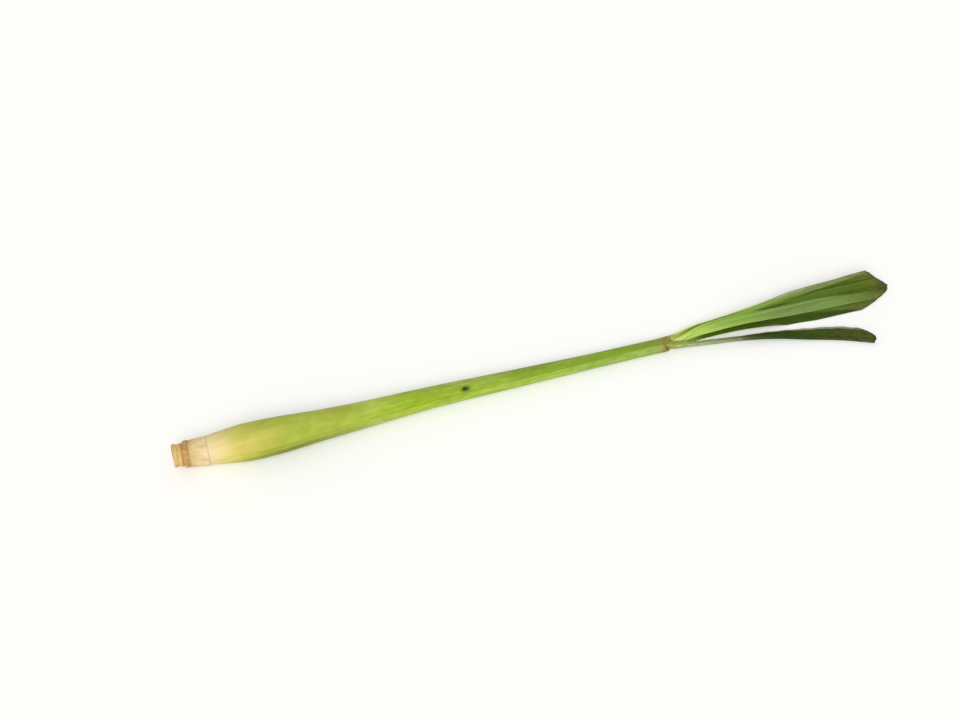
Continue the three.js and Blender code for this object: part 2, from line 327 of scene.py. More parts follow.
LYING_FOLD = through(*above((0, 0), (45, 52)), (OUTER_TIP, 48))
STANDING_FOLD = through(*above((0, 0), (45, 42)), (OUTER_TIP, 34))
LYING_BLADE = (
    *above((1.5, 4.6), (19, 6.2), (38, 9.4), (46, 10.1), (58, 10.5), (70, 11.3), (80, BLADE_HALF_WIDTH)),
    (OUTER_TIP, BLADE_HALF_WIDTH),
)
STANDING_BLADE = (
    *above((3, 5.4), (19, 6.1), (45, 9.1), (58, 9.5), (68, 9.7), (80, 10.3), (92, 11.0), (100, 11.6)),
    (OUTER_TIP, 12.1),
)


def margin_wave(height, wavelength, phase):
    """The slow wave of a blade's edge, in degrees of turn: a sine along the leaf, growing above the
    collar."""
    return lambda x: (
        height * smoothstep(x, COLLAR + 15, COLLAR + 60) * np.sin(2 * np.pi * x / wavelength + phase)
    )


def outer_leaf_form(sizes):
    """The outer leaf: its blade is an open gutter, with one half standing up and the other lying down."""
    return SimpleNamespace(
        columns=128,
        rows=stretches(
            17, 16, 27, 36, 72, 84, COLLAR - 6, 24, COLLAR + 6, 96, OUTER_TIP - 8, 14, OUTER_TIP
        ),
        tip=OUTER_TIP,
        radius=lambda x: stalk_radius(x) + collar_ridge(x),
        thickness=lambda x: outer_wall(x) + collar_ridge(x),
        centre_y=leaving(stalk_y, *above((19, 3.4), (45, 5.0), (80, 5.2)), (OUTER_TIP, 4.2)),
        centre_z=leaving(stalk_z, *above((19, 3.5), (45, 3.3)), (OUTER_TIP, 3.3)),
        midrib_angle=through((17, 25), (135, 0), *above((0, -30), (45, -45)), (OUTER_TIP, -45)),
        opening=through(*above((-1, 0), (15, 0.5), (66, 1))),
        covering={
            **PLAIN_HALF,
            "width": half_width(through((17, 186), (32, 198)), stalk_radius, *LYING_BLADE),
            "fold": LYING_FOLD,
            "lip": through(*above((20, 0), (50, 30), (75, 50)), (OUTER_TIP, 42)),
            "wave": margin_wave(5, 31, 0.4),
            "tip_cut": 19,
            "tip_power": 1.6,
        },
        covered={
            "width": half_width(always(170), stalk_radius, *STANDING_BLADE),
            "fold": STANDING_FOLD,
            "lip": through(*above((20, 0), (50, 14), (80, 26)), (OUTER_TIP, 22)),
            "tuck": lambda x: (0.35 * outer_wall(x) + 0.3) * smoothstep(x, 17, 32),
            "wave": margin_wave(4, 38, 2.1),
            "tip_cut": 13,
            "tip_power": 0.9,
        },
        keel=through(*above((0, 0), (20, sizes.keel_height / MM)), (OUTER_TIP, sizes.keel_height / MM)),
        veins=16,
        vein_height=sizes.vein_height / MM,
        ragged=0.5,
        blunt=0.5,
        seed=3,
    )


def opposite_radius(x):
    return stalk_radius(x) - outer_wall(x) - MARGIN_THICKNESS - 2 * LAYER_GAP


def opposite_wall(x):
    return through((19, 1.1), (BULB_AT, 1.5), (100, 0.8), (180, 0.5), (COLLAR, 0.45))(x)


def opposite_leaf_form(sizes):
    """The next leaf in, rolled inside the outer one with its midrib on the other side. Its blade is folded
    shut along the midrib and bends away until it lies on the table."""
    half = {
        **PLAIN_HALF,
        "width": half_width(
            always(173), opposite_radius,
            *above((2, 2.6), (22, 2.5), (31, 2.3), (36, 2.35), (41, 2.9), (46, 3.7), (56, 5.0)),
            *above((66, 6.1), (80, 7.05)), (OPPOSITE_TIP, 7.5),
        ),
        "fold": through(*above((2, 0), (18, 80), (30, 86))),
        "wave": margin_wave(4, 9, 1.0),
        "tip_cut": 9,
        "tip_power": 3.3,
    }
    return SimpleNamespace(
        columns=96,
        rows=stretches(
            19.4, 10, BULB_AT, 16, 72, 60, COLLAR - 6, 28, COLLAR + 8, 84, OPPOSITE_TIP - 6, 12,
            OPPOSITE_TIP,
        ),
        tip=OPPOSITE_TIP,
        radius=opposite_radius,
        thickness=opposite_wall,
        centre_y=leaving(
            stalk_y, *above((2, -0.9), (10, -2.4), (22, -3.95), (32, -5.0), (45, -7.05), (56, -9.35)),
            *above((68, -12.5), (84, -16.9)), (OPPOSITE_TIP, -23.9),
        ),
        centre_z=leaving(stalk_z, *above((22, 2.9), (45, 2.6), (84, 1.3)), (OPPOSITE_TIP, 1.3)),
        midrib_angle=through(
            (17, 205), (135, 180), *above((0, 150), (10, 151), (22, 148), (45, 149), (68, 166), (84, 178)),
        ),
        opening=through(*above((-3, 0), (20, 1))),
        covering=half,
        covered=half,
        keel=through(*above((6, 0), (40, 0.6 * sizes.keel_height / MM))),
        veins=12,
        vein_height=sizes.vein_height / MM,
        ragged=0.4,
        blunt=1.1,
        seed=5,
    )


def inner_leaf_form(sizes):
    """The youngest leaf, rolled tight inside the other two. Its blade lies in the gutter of the outer
    one."""
    outer = outer_leaf_form(sizes)

    def rolled_radius(x):
        return opposite_radius(x) - opposite_wall(x) - LAYER_GAP

    def radius(x):
        nested = COLLAR_RADIUS - outer_wall(x) - 0.9 * LAYER_GAP
        return lerp(rolled_radius(x), nested, smoothstep(x, COLLAR, COLLAR + 24))

    def half(fold, tip_cut, tip_power, *blade):
        return {
            **PLAIN_HALF,
            "width": half_width(always(172), lambda x: 0.7 * radius(x), *blade),
            "fold": fold,
            "tip_cut": tip_cut,
            "tip_power": tip_power,
        }

    return SimpleNamespace(
        columns=80,
        rows=stretches(
            22.4, 8, BULB_AT, 16, 100, 40, COLLAR - 6, 24, COLLAR + 10, 84, INNER_TIP - 6, 12, INNER_TIP
        ),
        tip=INNER_TIP,
        radius=radius,
        thickness=lambda x: lerp(0.6 * rolled_radius(x), 0.45, smoothstep(x, COLLAR - 10, COLLAR + 20)),
        centre_y=outer.centre_y,
        centre_z=outer.centre_z,
        midrib_angle=outer.midrib_angle,
        opening=through(*above((2, 0), (20, 0.55), (66, 1))),
        covering=half(LYING_FOLD, 7, 1.6, *above((10, 2.8), (45, 5), (80, 6.5))),
        covered=half(
            STANDING_FOLD, 6.5, 0.95,
            *above((8, 4.4), (20, 5.7), (32, 6.0), (46, 4.9), (58, 4.2), (66, 4.2), (85, 5.6)),
            (INNER_TIP, 6.3),
        ),
        keel=always(0),
        veins=10,
        vein_height=sizes.vein_height / MM,
        ragged=0.4,
        blunt=0,
        seed=7,
    )


def sheath_stub_form(from_, to, radius, midrib_angle, ragged, seed):
    """The stub of an older leaf: a short length of sheath, torn off close to where it grew."""
    half = {
        **PLAIN_HALF,
        "width": lambda x: np.radians(175) * radius(x),
        "tip_cut": 0.1,
        "tip_power": 1,
    }
    return SimpleNamespace(
        columns=160,
        rows=stretches(from_, 36, to),
        tip=to,
        radius=radius,
        thickness=always(0.7),
        centre_y=stalk_y,
        centre_z=stalk_z,
        midrib_angle=always(midrib_angle),
        opening=always(0),
        covering=half,
        covered=half,
        keel=always(0),
        veins=26,
        vein_height=0.08,
        ragged=ragged,
        blunt=0,
        seed=seed,
    )


# ---- the ligule ----


def ligule_rings():
    """The ligule, a papery collar that stands up inside the outer leaf where its blade bends away. It
    is an arc round the stalk, open at the back: each row is a little closer to the stalk than the one
    below it, and the free edge is torn into uneven points. Each ring goes out along its outer face and
    back along the inner."""
    half, columns = np.radians(150), 140
    foot, rise, droop = COLLAR - 4, 5.6, 2.4  # it droops towards its two ends
    foot_radius, lean, thickness = 2.95, 0.3, 0.1
    row = np.linspace(-1, 1, columns + 1)
    turn = np.concatenate([row, row[::-1]])
    outer_face = np.concatenate([np.ones_like(row), np.zeros_like(row)])
    height = np.linspace(0, 1, 12)[:, None]
    torn = 0.5 * ripples(31, 26 * turn, 0 * height) + 0.35 * ripples(32, 9 * turn, 0 * height)
    x = foot + height * (rise + torn - droop * turn**4)
    wavy = 0.1 * ripples(33, 14 * turn, 3 * height) * height
    radius = foot_radius - lean * height + wavy + thickness * outer_face
    points = round_stalk(x, radius, np.radians(LIGULE_MIDDLE) + half * turn)
    place = joined(x * MM, turn, outer_face)
    return points, {"leaf_place": place, "from_cut": place[..., 0]}


# ---- the culm ----


def culm_rings(sizes):
    """The woody culm as rings about its centre line: a profile of radius against place, carried round the
    line. It starts at the middle of the cut face, goes over the rim and along two joints, and ends at the
    growing point inside the leaves. Ring-shaped leaf scars are raised on it, and the cut face is lifted by
    the torn ends of its fibres."""
    around = 120
    sheathed, core, core_end = 18.8, 21.8, 33  # narrower inside the sheaths, then a thin core
    sheathed_radius, core_radius, core_end_radius = 3.8, 1.2, 0.4
    face_radius = np.array([0.4, 1.0, 1.6, 2.2, 2.8, 3.4, 3.9, 4.4, 4.8, 5.1])
    ridges = ((7.74, 8.16, 6.2), (16.9, 17.04, 7.14))
    ridge_x = [place for low, high, _ in ridges for place in (low - 0.03, low, high, high + 0.03)]
    joint_x = np.unique(np.concatenate([np.linspace(0.15, sheathed, 90), ridge_x]))
    side_x = np.concatenate([joint_x, np.linspace(sheathed, core, 6), np.linspace(core, core_end, 12)])
    side_radius = through(
        (0.15, 5.25), (0.9, 5.6), (2.5, 5.2), (4, 5.6), (5.2, 5.3), (9.4, 5.4), (16.6, 5.8),
        (sheathed, 5.6),
    )(side_x)
    for low, high, top in ridges:
        side_radius = np.where((side_x >= low) & (side_x <= high), top, side_radius)
    side_radius = np.where(side_x > sheathed, sheathed_radius, side_radius)
    thinning = lerp(core_radius, core_end_radius, (side_x - core) / (core_end - core))
    side_radius = np.where(side_x > core, thinning, side_radius)
    side_radius[np.flatnonzero(side_x == sheathed)[1:]] = sheathed_radius
    side_radius[np.flatnonzero(side_x == core)[1:]] = core_radius
    angle = np.linspace(0, 2 * np.pi, around, endpoint=False)
    x = np.concatenate([np.zeros_like(face_radius), side_x])[:, None]
    radius = np.concatenate([face_radius, side_radius])[:, None]
    turn_x, turn_y = np.cos(angle), np.sin(angle)
    bare = (x > 0) & (x < 9)
    scars = np.exp(-(((x - 0.9) / 0.35) ** 2)) + np.exp(-(((x - 4.1) / 0.4) ** 2))
    rough = 0.12 * ripples(11, 2.2 * x, 4 * turn_x, 4 * turn_y)
    rough = rough + 0.07 * ripples(12, 9 * x, 9 * turn_x, 9 * turn_y)
    radius = radius + bare * (0.16 * scars + rough)
    torn = ripples(13, 3 * radius * turn_x, 3 * radius * turn_y) - 0.3
    torn = (x == 0) * sizes.fibre_height / MM * torn
    rim = 0.22 * ripples(14, 3 * turn_x, 3 * turn_y) * (x < 2) * (radius > 3)
    x = x + 0 * turn_x + np.clip(torn + rim, -0.2, 0.3) * (x < 2) + 0.2 * (x == 0)
    place = joined(x * MM, angle / np.pi - 1, radius * MM)
    return round_stalk(x, radius, angle), {"leaf_place": place, "from_cut": place[..., 0]}


# ---- meshes ----


def strip_cap(around):
    """Closes the end of a leaf: each point of the outer skin is joined to the one behind it on the
    inner skin."""
    out = np.arange(1, around // 2 - 1)
    middle = np.stack([out, out + 1, around - out - 1, around - out], -1).tolist()
    last = around // 2
    return [[0, 1, around - 1]] + middle + [[last - 1, last, last + 1]]


def grown_body(name, rings, marks, leaf_ends=True):
    """One closed body from rings of points in millimetres: neighbouring rings are joined by four-sided
    faces, and each end is closed, across the leaf's thickness or by a fan to a middle point. Its faces
    point outwards. marks are kept as attributes, for the material to follow. The map named OFBake is
    the unrolled surface, with the two ends as thin strips below and above it."""
    map_foot, map_height, end_height = 0.02, 0.96, 0.012
    low_end, high_end = 0.0, 0.985
    count, around = rings.shape[:2]
    points = rings.reshape(-1, 3)
    column = np.arange(around)
    index = np.arange(count * around).reshape(count, around)
    after = np.roll(index, -1, axis=1)
    walls = np.stack([index[:-1], after[:-1], after[1:], index[1:]], -1).reshape(-1, 4)
    left, right = column / around, (column + 1) / around
    level = map_foot + map_height * np.arange(count) / (count - 1)
    low, high = (np.meshgrid(ends, left, indexing="ij")[0] for ends in (level[:-1], level[1:]))
    one, two = np.broadcast_to(left, low.shape), np.broadcast_to(right, low.shape)
    wall_map = np.stack([one, low, two, low, two, high, one, high], -1).reshape(-1, 4, 2)
    tops = points[walls]
    halves = np.concatenate([tops[:, [0, 1, 2]], tops[:, [0, 2, 3]]])
    middle = points.mean(0)
    a, b, c = np.moveaxis(halves - middle, 1, 0)
    outwards = np.einsum("ij,ij->", a, np.cross(b, c)) > 0
    faces = (walls if outwards else walls[:, ::-1]).tolist()
    wall_map = wall_map if outwards else wall_map[:, ::-1]
    corners = [wall_map.reshape(-1, 2)]
    values = {key: np.asarray(value).reshape(len(points), -1) for key, value in marks.items()}
    half = around // 2
    for ring, edge, turned in ((index[0], low_end, outwards), (index[-1], high_end, not outwards)):
        if leaf_ends:
            pattern = [np.array(face) for face in strip_cap(around)]
            spots = [
                joined(np.where(f < half, f, around - f) / half, edge + end_height * (f >= half))
                for f in pattern
            ]
        else:
            points = np.vstack([points, points[ring].mean(0)])
            values = {key: np.vstack([value, value[ring].mean(0)]) for key, value in values.items()}
            pattern = [np.array([k, (k + 1) % around, around]) for k in range(around)]
            tip = edge + end_height
            spots = [np.array([[k, edge], [k + 1, edge], [k + 0.5, tip]]) for k in range(around)]
            spots = [spot / (around, 1) for spot in spots]
            ring = np.append(ring, len(points) - 1)
        way = -1 if turned else 1
        faces += [ring[face[::way]].tolist() for face in pattern]
        corners += [spot[::way] for spot in spots]

    mesh = bpy.data.meshes.new(name)
    place = points * MM + np.array(ROOT_CUT)
    mesh.from_pydata(place.tolist(), [], faces)
    smooth = np.ones(len(faces), bool)
    smooth[len(walls) :] = not leaf_ends
    mesh.polygons.foreach_set("use_smooth", smooth)
    for key, value in values.items():
        kind = "FLOAT_VECTOR" if value.shape[1] == 3 else "FLOAT"
        mark = mesh.attributes.new(key, kind, "POINT")
        field = "vector" if kind == "FLOAT_VECTOR" else "value"
        mark.data.foreach_set(field, value.astype(np.float32).ravel())
    layer = mesh.uv_layers.new(name="OFBake")
    layer.data.foreach_set("uv", np.concatenate(corners).astype(np.float32).ravel())
    mesh.update()
    made = bpy.data.objects.new(name, mesh)
    bpy.context.scene.collection.objects.link(made)
    return made


def finish_piece(made, material, node):
    """Gives a piece its material, hangs it on the root body, and hides the part of the model it stands for.
    """
    made.data.materials.append(material)
    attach(made, "root")
    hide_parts(node)


# ---- materials ----

# Nearly all of a noise lies between these two values, so each pattern is scaled from them.
SPAN = (0.3, 0.7)


def add(tree, kind, inputs=(), stops=(), out=None, **settings):
    """Adds one shader node and returns the output that is asked for, or else the first one in use.
    inputs go to the sockets in use, in their order, or by name. Each is a number, a colour or the
    output that feeds it."""
    made = tree.nodes.new("ShaderNode" + kind)
    for name, value in settings.items():
        setattr(made, name, value)
    if stops:
        ramp = made.color_ramp.elements
        while len(ramp) < len(stops):
            ramp.new(1)
        for element, (place, _) in zip(ramp, stops):
            element.position = place
        for element, (_, colour) in zip(ramp, stops):
            element.color = rgba(colour)
    if isinstance(inputs, dict):
        fed = [(made.inputs[name], value) for name, value in inputs.items()]
    else:
        fed = zip([socket for socket in made.inputs if socket.enabled], inputs)
    for socket, value in fed:
        if isinstance(value, bpy.types.NodeSocket):
            tree.links.new(value, socket)
        else:
            socket.default_value = rgba(value) if socket.type == "RGBA" else value
    if out is not None:
        return made.outputs[out]
    return next((socket for socket in made.outputs if socket.enabled), None)


def new_material(name):
    material = bpy.data.materials.new(name)
    material.use_nodes = True
    tree = material.node_tree
    tree.nodes.clear()
    return material, tree


def grain(tree, place, cells, detail, roughness=0.5):
    """An uneven pattern between 0 and 1. cells says how fine it is: how many cells to the metre along
    the leaf, to half its width, and through it."""
    stretched = add(tree, "VectorMath", (place, cells), operation="MULTIPLY")
    return add(tree, "TexNoise", (stretched, 1, detail, roughness))


def finish_surface(tree, colour, rough, relief, strength, depth, ior):
    """Ends a material: relief stands out by depth metres, and rough and ior give the sheen."""
    bump = add(tree, "Bump", {"Height": relief, "Strength": strength, "Distance": depth})
    shader = add(
        tree, "BsdfPrincipled",
        {"Base Color": colour, "Roughness": rough, "Normal": bump, "IOR": ior, "Specular IOR Level": 0.25},
    )
    add(tree, "OutputMaterial", (shader,))


def leaf_tissue(name, length, under_lanes, upper_lanes, look):
    """Living leaf: a waxy skin over soft tissue with parallel veins. The eye sees a soft sheen, colour
    that changes slowly from the bulb to the tip, and fine lines that run the whole length. under_lanes
    colour the outer skin and upper_lanes the inner one, which is a blade's upper face. Each lane begins
    at a place across the leaf, with a soft edge, and has colour stops along it in millimetres from the
    root cut."""
    material, tree = new_material(name)
    place = add(tree, "Attribute", out="Vector", attribute_name="leaf_place")
    along, share, skin = add(tree, "SeparateXYZ", (place,), out=slice(3))

    # Broad soft patches 40 mm long, a little lighter or darker, that also shift where each colour begins.
    slow = grain(tree, place, (25, 2.2, 1), 2)
    drift = add(tree, "MapRange", (slow, *SPAN, -look["drift"], look["drift"]))
    t = add(tree, "Math", (along, 1 / (length * MM), drift), operation="MULTIPLY_ADD")

    # The lanes spread or lean over a stretch of the blade, because its folds don't run quite along the
    # veins.
    from_, to, spread, lean = look["lanes"]
    wide = add(tree, "MapRange", (along, from_ * MM, to * MM, 1, spread))
    aside = add(tree, "MapRange", (along, from_ * MM, to * MM, *lean))
    aside = add(tree, "Math", (drift, 2, aside), operation="MULTIPLY_ADD")
    lane_place = add(tree, "Math", (share, wide, aside), operation="MULTIPLY_ADD")
    sides = []
    for lanes in (under_lanes, upper_lanes):
        for number, (begins, soft, stops) in enumerate(lanes):
            lane = add(tree, "ValToRGB", (t,), [(at / length, tone) for at, tone in stops.items()])
            if number == 0:
                colour = lane
                continue
            edges = (lane_place, begins - soft, begins + soft)
            mask = add(tree, "MapRange", edges, interpolation_type="SMOOTHSTEP")
            colour = add(tree, "Mix", (mask, colour, lane), data_type="RGBA")
        sides.append(colour)
    upper = add(tree, "Math", (skin, 0), operation="LESS_THAN")
    colour = add(tree, "Mix", (upper, *sides), data_type="RGBA")

    # Streaks about 1.5 mm wide and 30 mm long, where the tissue between the veins is deeper or paler,
    # and fine vein lines. Real veins are 0.3 mm apart; these are drawn about twice as coarse, so that
    # they show. Both are faint on the bulb, where the sheath is thick and full of water. The mottling
    # is soft, in patches whose size the look gives.
    streaks = grain(tree, place, (30, 15, 2), 4, 0.6)
    veins = grain(tree, place, (14, 55, 3), 3, 0.6)
    mottle = grain(tree, place, look["mottle_scale"], 3)
    firm = add(tree, "MapRange", (along, 30 * MM, 120 * MM, 0.35, 1))
    patterns = (
        (slow, 1, "patches"), (streaks, firm, "streaks"), (mottle, firm, "mottle"), (veins, firm, "veins"),
    )
    # Each pattern tints from its deep tone to a pale one, as far above 1 as the deep one is below it.
    for noise, strength, tones in patterns:
        level = add(tree, "MapRange", (noise, *SPAN, -0.5, 0.5))
        level = add(tree, "Math", (level, strength, 0.5), operation="MULTIPLY_ADD")
        deep = look[tones]
        pale = tuple(2 - part for part in deep)
        tone = add(tree, "Mix", (level, deep, pale), data_type="VECTOR")
        colour = add(tree, "VectorMath", (colour, tone), operation="MULTIPLY")
    for paint, *settings in look["paint"]:
        mask, tone = paint(tree, place, *settings)
        colour = add(tree, "Mix", (mask, colour, tone), data_type="RGBA")

    # The cut edge has dried brown for a millimetre or more.
    cut = add(tree, "Attribute", out="Fac", attribute_name="from_cut")
    depth = add(tree, "MapRange", (veins, *SPAN, 0.2 * MM, look["dried_depth"] * MM))
    dried = add(tree, "MapRange", (cut, 0, depth, look["dried"], 0), interpolation_type="SMOOTHSTEP")
    colour = add(tree, "Mix", (dried, colour, look["cut_colour"]), data_type="RGBA")
    rough = add(tree, "MapRange", (streaks, *SPAN, look["rough"] - 0.06, look["rough"] + 0.08))
    finish_surface(tree, colour, rough, veins, 0.35, 0.12 * MM, 1.43)
    return material


# Each function below paints one mark on a leaf: it returns the mark's mask, from 0 to 1, and its colour.


def collar_mark(tree, place, olive, orange):
    """The dried patch at the collar, where the blade hinges: olive brown with a few orange streaks, ragged,
    and fading out both ways."""
    along = add(tree, "SeparateXYZ", (place,))
    noise = grain(tree, place, (260, 7, 1), 3)
    from_middle = add(tree, "Math", (along, (COLLAR - 1.6) * MM), operation="SUBTRACT")
    away = add(tree, "Math", (from_middle,), operation="ABSOLUTE")
    reach = add(tree, "MapRange", (noise, *SPAN, 2.6 * MM, 5.4 * MM))
    mask = add(tree, "MapRange", (away, 0, reach, 0.85, 0), interpolation_type="SMOOTHSTEP")
    flecks = add(tree, "MapRange", (grain(tree, place, (420, 26, 1), 2), 0.45, 0.62))
    return mask, add(tree, "Mix", (flecks, olive, orange), data_type="RGBA")


def crease_shadow(tree, place, at_share, half_share, from_, to, dark, strength):
    """Painted shadow along a blade: a soft dark line at a place across it, between two millimetre marks."""
    along, share, skin = add(tree, "SeparateXYZ", (place,), out=slice(3))
    moved = add(tree, "Math", (share, at_share), operation="SUBTRACT")
    away = add(tree, "Math", (moved,), operation="ABSOLUTE")
    ranges = (
        (away, 0, half_share, strength, 0),
        (along, (from_ - 5) * MM, from_ * MM),
        (along, to * MM, (to + 8) * MM, 1, 0),
    )
    mask = add(tree, "Math", (skin, 0), operation="LESS_THAN")
    for values in ranges:
        part = add(tree, "MapRange", values, interpolation_type="SMOOTHSTEP")
        mask = add(tree, "Math", (mask, part), operation="MULTIPLY")
    return mask, dark


def bloom_and_glints(tree, place, strength, pale):
    """Specks about 0.5 mm wide and 2 mm long, scattered over a blade: pale wax, partly painted highlights
    where it glints.
    """
    return add(tree, "MapRange", (grain(tree, place, (500, 22, 3), 2), 0.64, 0.74, 0, strength)), pale


def dried_edge(tree, place, from_share, from_, to, dry, strength):
    """The two edges of a blade, dried in uneven stretches 3 to 10 mm long between two marks."""
    along, share = add(tree, "SeparateXYZ", (place,), out=slice(2))
    out = add(tree, "Math", (share,), operation="ABSOLUTE")
    begins = add(tree, "MapRange", (grain(tree, place, (150, 4, 1), 3), 0.35, 0.65, 1, from_share))
    edge = add(tree, "MapRange", (out, begins, 1, 0, strength))
    mask = add(tree, "MapRange", (along, (from_ - 12) * MM, from_ * MM, 0, edge))
    return add(tree, "MapRange", (along, to * MM, (to + 5) * MM, mask, 0)), dry


def dry_patches(tree, place, from_, to, dry, strength):
    """Patches about 3 mm long and 1 mm wide towards a blade's end, where it has begun to dry."""
    along = add(tree, "SeparateXYZ", (place,))
    dried = add(tree, "MapRange", (grain(tree, place, (300, 9, 3), 3), 0.46, 0.6, 0, strength))
    return add(tree, "MapRange", (along, from_ * MM, to * MM, 0, dried)), dry


def blemish(tree, place, half_length, half_share, dark, strength):
    """One small dark bruise on a sheath, its size given along the leaf in millimetres and across it as a
    share of the half width."""
    moved = add(tree, "VectorMath", (place, (-BRUISE_AT * MM, -BRUISE_SHARE, 0)), operation="ADD")
    size = (1 / (half_length * MM), 1 / half_share, 0)
    sized = add(tree, "VectorMath", (moved, size), operation="MULTIPLY")
    away = add(tree, "VectorMath", (sized,), operation="LENGTH")
    edge = add(tree, "MapRange", (grain(tree, place, (700, 24, 0), 2), *SPAN, -0.25, 0.25))
    worn = add(tree, "Math", (away, edge), operation="ADD")
    return add(tree, "MapRange", (worn, 0.7, 1.15, strength, 0), interpolation_type="SMOOTHSTEP"), dark


def dry_tissue(name, stops, length, dark, pale, rough, fibre_cells):
    """Dried sheath and culm: papery or woody tissue cut with a knife. The eye sees dull tan with browner
    rings where leaves once grew, and short fibres. stops colour it along the stalk in millimetres."""
    material, tree = new_material(name)
    place = add(tree, "Attribute", out="Vector", attribute_name="leaf_place")
    along = add(tree, "SeparateXYZ", (place,))
    body = add(tree, "TexCoord", out="Object")
    # Uneven drying in patches about 2 mm across.
    patches = add(tree, "TexNoise", (body, 420, 4, 0.6))
    drift = add(tree, "MapRange", (patches, *SPAN, -0.8 * MM, 0.8 * MM))
    shifted = add(tree, "Math", (along, drift), operation="ADD")
    t = add(tree, "Math", (shifted, 1 / (length * MM)), operation="MULTIPLY")
    colour = add(tree, "ValToRGB", (t,), [(at / length, tone) for at, tone in stops.items()])
    fibres = grain(tree, body, fibre_cells, 4, 0.7)
    light = add(tree, "MapRange", (patches, 0.5, 0.75, 0, 0.5))
    colour = add(tree, "Mix", (light, colour, pale), data_type="RGBA")
    shade = add(tree, "MapRange", (fibres, 0.52, 0.3, 0, 0.9))
    colour = add(tree, "Mix", (shade, colour, dark), data_type="RGBA")
    finish_surface(tree, colour, rough, fibres, 0.6, 0.3 * MM, 1.45)
    return material


# ---- settings ----


def fine_size(name, description, default, most):
    return FloatProperty(
        name=name, description=description, default=default, min=0, max=most, precision=5, unit="LENGTH"
    )


def tint(name, description, code):
    return FloatVectorProperty(
        name=name, description=description, default=linear(code), subtype="COLOR", size=3, min=0, max=1
    )


class LemongrassSizes(bpy.types.PropertyGroup):
    """Sizes of the fine detail, in metres."""

    vein_height: fine_size("Vein Height", "How far the leaf veins stand up", 0.00006, 0.0003)
    keel_height: fine_size("Keel Height", "How far the midrib stands out below a blade", 0.0004, 0.001)
    fibre_height: fine_size("Fibre Height", "How far torn fibres stand out of the cut", 0.0002, 0.0004)


class LemongrassColours(bpy.types.PropertyGroup):
    """Colours of the stalk from its root to its blades."""

    root_tan: tint("Root Tan", "Woody culm at the root cut", "#EBC680")
    root_brown: tint("Root Brown", "Old leaf scars and torn sheath edges", "#A5743A")
    sheath_tan: tint("Dried Sheath", "The upper sheath stub", "#E4C78A")
    bulb_cream: tint("Bulb Cream", "The foot of the outer sheath", "#F3E0AA")
    bulb_yellow: tint("Bulb Yellow", "Where the bulb turns from cream to green", "#D0C860")
    stem_yellow_green: tint("Stem Yellow Green", "The lower stem", "#B1C247")
    stem_green: tint("Stem Green", "The upper stem", "#88A524")
    collar_olive: tint("Collar Olive", "The dried patch at the collar", "#7D7526")
    collar_brown: tint("Collar Brown", "Orange streaks in the dried patch", "#A98A3C")
    # Painted light: the pale collar zone, brightened further where the fold of the blades lies in shade.
    blade_flare: tint("Blade Flare", "The blades where they leave the collar", "#E0EC80")
    blade_base: tint("Blade Base", "The blades a little above the collar", "#C3E36D")
    blade_green: tint("Blade Green", "The upper face of the young blade", "#839E55")
    blade_mid: tint("Blade Mid Green", "The standing half of the young blade", "#627C2E")
    # Painted shade: the tone of the broad blade's lying edge, which curls down away from the light.
    blade_lying_shade: tint("Blade Shade", "The broad blade's lying edge", "#3B5304")
    blade_pale: tint("Blade Edge", "The broad blade's standing edge", "#86925A")
    folded_green: tint("Folded Blade", "The narrow folded blade", "#394B09")
    folded_base: tint("Folded Blade Base", "The narrow blade just above the collar", "#95A468")
    cut_brown: tint("Cut Brown", "Dried edge where a blade was cut", "#4E4A20")
    floor: tint("Floor", "The studio floor", "#F4F4F1")


# ---- operators ----

WHITE = (1, 1, 1)
PAPER_GLOW = 0.19  # makes the floor near white where it is seen, and lights nothing
SKY_STRENGTH = 0.5
KEY_STRENGTH, KEY_ANGLE = 1.55, 0.6  # a broad soft lamp; its angle is in radians
KEY_FROM = (-25, 52)  # azimuth and elevation in degrees, as for the camera
SEEN_FROM = (-15.8, 55)
LOOK_AT = Vector((-0.029956, 0.019492, 0.010))
EYE_DISTANCE = 0.9127
LENS = 70  # in millimetres, on a 36 mm sensor


class LEMONGRASS_OT_culm(bpy.types.Operator):
    """Build the woody culm with its cut face and leaf scars"""

    bl_idname = "lemongrass.culm"
    bl_label = "Build Culm"

    def execute(self, context):
        sizes, colours = context.scene.lemongrass_sizes, context.scene.lemongrass_colours
        rings, marks = culm_rings(sizes)
        made = grown_body("culm_body", rings, marks, leaf_ends=False)
        tan, brown = colours.root_tan, colours.root_brown
        # Dried grass culm, cut across with a knife: tan and fibrous, with browner rings at the scars.
        stops = {
            0: tan, 1.4: "#EFCB86", 2.6: "#E6C27C", 3.6: "#F3CF88", 4.4: "#E6BC76",
            5.2: "#C9975A", 7.6: "#E3BC7E", 16.4: "#EFD3A0", 33: tan,
        }
        material = dry_tissue("Woody Culm", stops, 33, brown, "#FFE2A0", 0.8, (1500, 210, 210))
        finish_piece(made, material, "root_culm")
        return {"FINISHED"}


